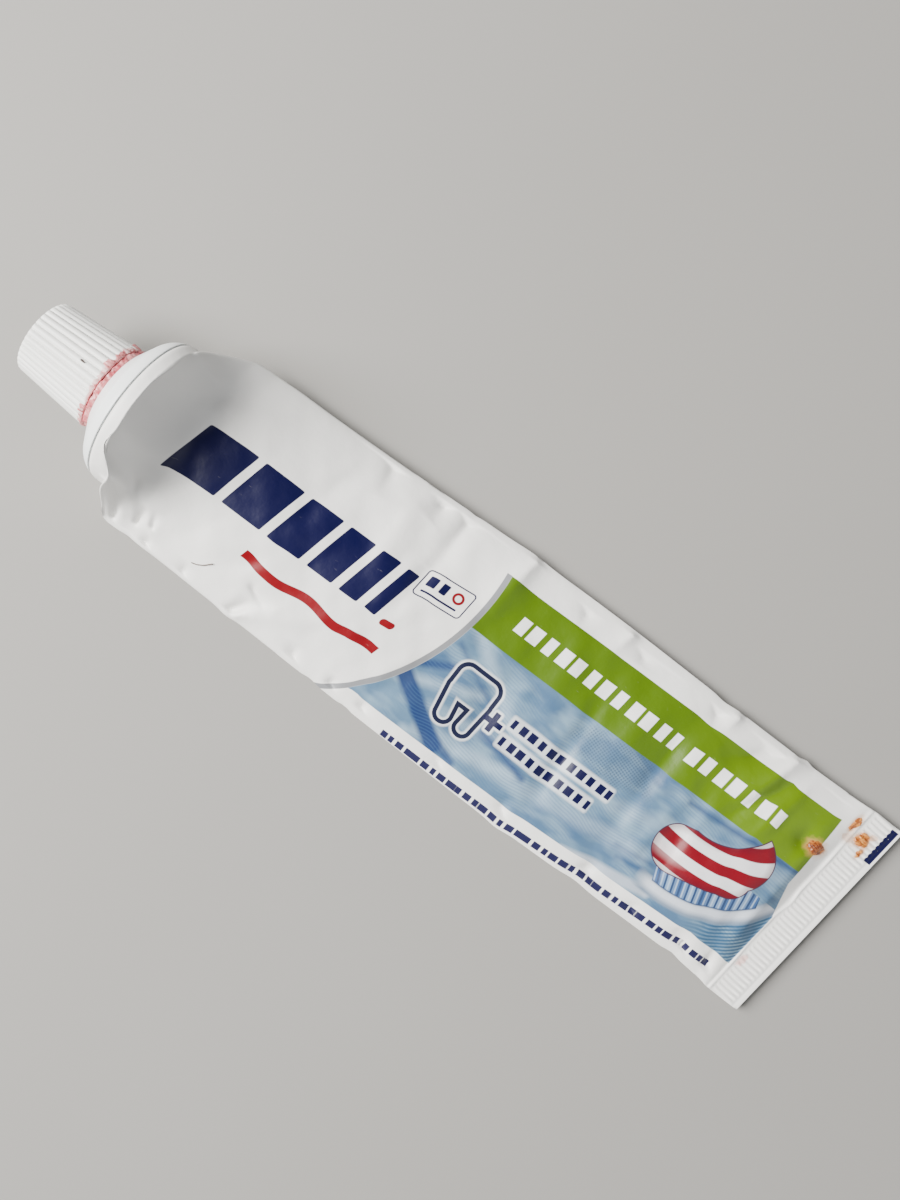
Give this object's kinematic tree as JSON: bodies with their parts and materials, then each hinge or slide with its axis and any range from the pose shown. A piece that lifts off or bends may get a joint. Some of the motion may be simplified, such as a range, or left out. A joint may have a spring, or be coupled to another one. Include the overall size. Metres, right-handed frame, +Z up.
{
  "type": "squeezed toothpaste tube",
  "caption": "Nearly empty laminate tube squeezed flat behind its round shoulder, with a ribbed screw cap, a crimped tail and dried paste round the neck.",
  "frame": {"origin": "centre of the bounding box's bottom face, on the surface that the tube lies on", "axes": "+X along the tube from the cap to the crimped tail, parallel to the head's own axis; +Z up; +Y towards the side where the crimp reaches furthest"},
  "size_m": [0.186, 0.047, 0.03],
  "materials": {
    "cap_plastic": "satin, ribbed, smeared with dried paste at the rim",
    "shoulder_plastic": "satin",
    "insert_plastic": "satin",
    "printed_laminate": "soft gloss, printed, creased and scuffed",
    "white_paste": "wet gloss",
    "red_paste": "wet gloss",
    "dried_paste": "uneven, half dry"
  },
  "bodies": {
    "tube": {"shoulder_nozzle": "shoulder_plastic", "stripe_insert": "insert_plastic", "tube_sleeve": "printed_laminate", "leftover_paste": "white_paste", "stripe_paste": "red_paste", "dried_paste_ring": "dried_paste"},
    "cap": {"cap": "cap_plastic"}
  },
  "joints": [
    {"name": "cap_lift", "type": "slide", "parent": "tube", "child": "cap", "axis": [-1, 0, 0], "range_m": [0, 0.025]}
  ]
}
